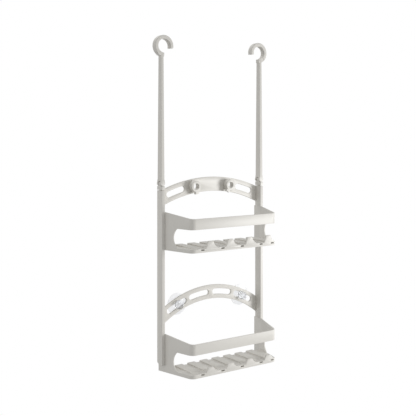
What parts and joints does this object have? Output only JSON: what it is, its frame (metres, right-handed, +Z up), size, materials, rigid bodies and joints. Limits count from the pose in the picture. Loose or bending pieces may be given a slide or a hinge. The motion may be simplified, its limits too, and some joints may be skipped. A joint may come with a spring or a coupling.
{
  "type": "shower caddy",
  "caption": "Hanging two-tier plastic shower caddy: open baskets between two uprights, arched back rails, tall hooked arms that lean and swivel, ring hooks and suction cups.",
  "frame": {"origin": "middle of the line between the centres of the two hooks, where the caddy hangs", "axes": "+Z up, +Y towards the wall, +X to the right as seen from the front"},
  "size_m": [0.32, 0.1047, 0.7524],
  "materials": {
    "moulded_body": "fine satin moulded plastic, warm light grey",
    "soft_grip": "soft matt elastomer in the body's colour",
    "pin": "plain moulded pin",
    "clear_cup": "clear glossy flexible plastic",
    "clear_knob": "clear glossy plastic"
  },
  "bodies": {
    "frame": {"left_upright": "moulded_body", "right_upright": "moulded_body", "upper_arch": "moulded_body", "lower_arch": "moulded_body", "upper_basket": "moulded_body", "lower_basket": "moulded_body"},
    "left_swivel": {"left_arm_base": "moulded_body"},
    "left_arm": {"left_arm": "moulded_body", "left_pivot_pin": "pin", "left_hook_grip": "soft_grip"},
    "left_ring": {"left_ring_hook": "moulded_body"},
    "left_cup": {"left_suction_cup": "clear_cup", "left_cup_knob": "clear_knob"},
    "right_swivel": {"right_arm_base": "moulded_body"},
    "right_arm": {"right_arm": "moulded_body", "right_pivot_pin": "pin", "right_hook_grip": "soft_grip"},
    "right_ring": {"right_ring_hook": "moulded_body"},
    "right_cup": {"right_suction_cup": "clear_cup", "right_cup_knob": "clear_knob"}
  },
  "joints": [
    {"name": "left_arm_swivel", "type": "hinge", "parent": "frame", "child": "left_swivel", "pos_m": [-0.141, 0, -0.3236], "axis": [0, 0, 1], "range_deg": [0, 90]},
    {"name": "left_arm_lean", "type": "hinge", "parent": "left_swivel", "child": "left_arm", "pos_m": [-0.141, 0, -0.308], "axis": [0, 1, 0], "range_deg": [0, 18]},
    {"name": "left_ring_turn", "type": "hinge", "parent": "frame", "child": "left_ring", "pos_m": [-0.0495, 0.0065, -0.31782], "axis": [0, 1, 0], "continuous": true},
    {"name": "left_cup_slide", "type": "hinge", "parent": "frame", "child": "left_cup", "pos_m": [0, 0.0065, -0.79731], "axis": [0, 1, 0], "range_deg": [-6.78, 4.2]},
    {"name": "right_arm_swivel", "type": "hinge", "parent": "frame", "child": "right_swivel", "pos_m": [0.141, 0, -0.3236], "axis": [0, 0, 1], "range_deg": [-90, 0]},
    {"name": "right_arm_lean", "type": "hinge", "parent": "right_swivel", "child": "right_arm", "pos_m": [0.141, 0, -0.308], "axis": [0, 1, 0], "range_deg": [-18, 0]},
    {"name": "right_ring_turn", "type": "hinge", "parent": "frame", "child": "right_ring", "pos_m": [0.0495, 0.0065, -0.31782], "axis": [0, 1, 0], "continuous": true},
    {"name": "right_cup_slide", "type": "hinge", "parent": "frame", "child": "right_cup", "pos_m": [0, 0.0065, -0.79731], "axis": [0, 1, 0], "range_deg": [-4.2, 6.78]}
  ]
}
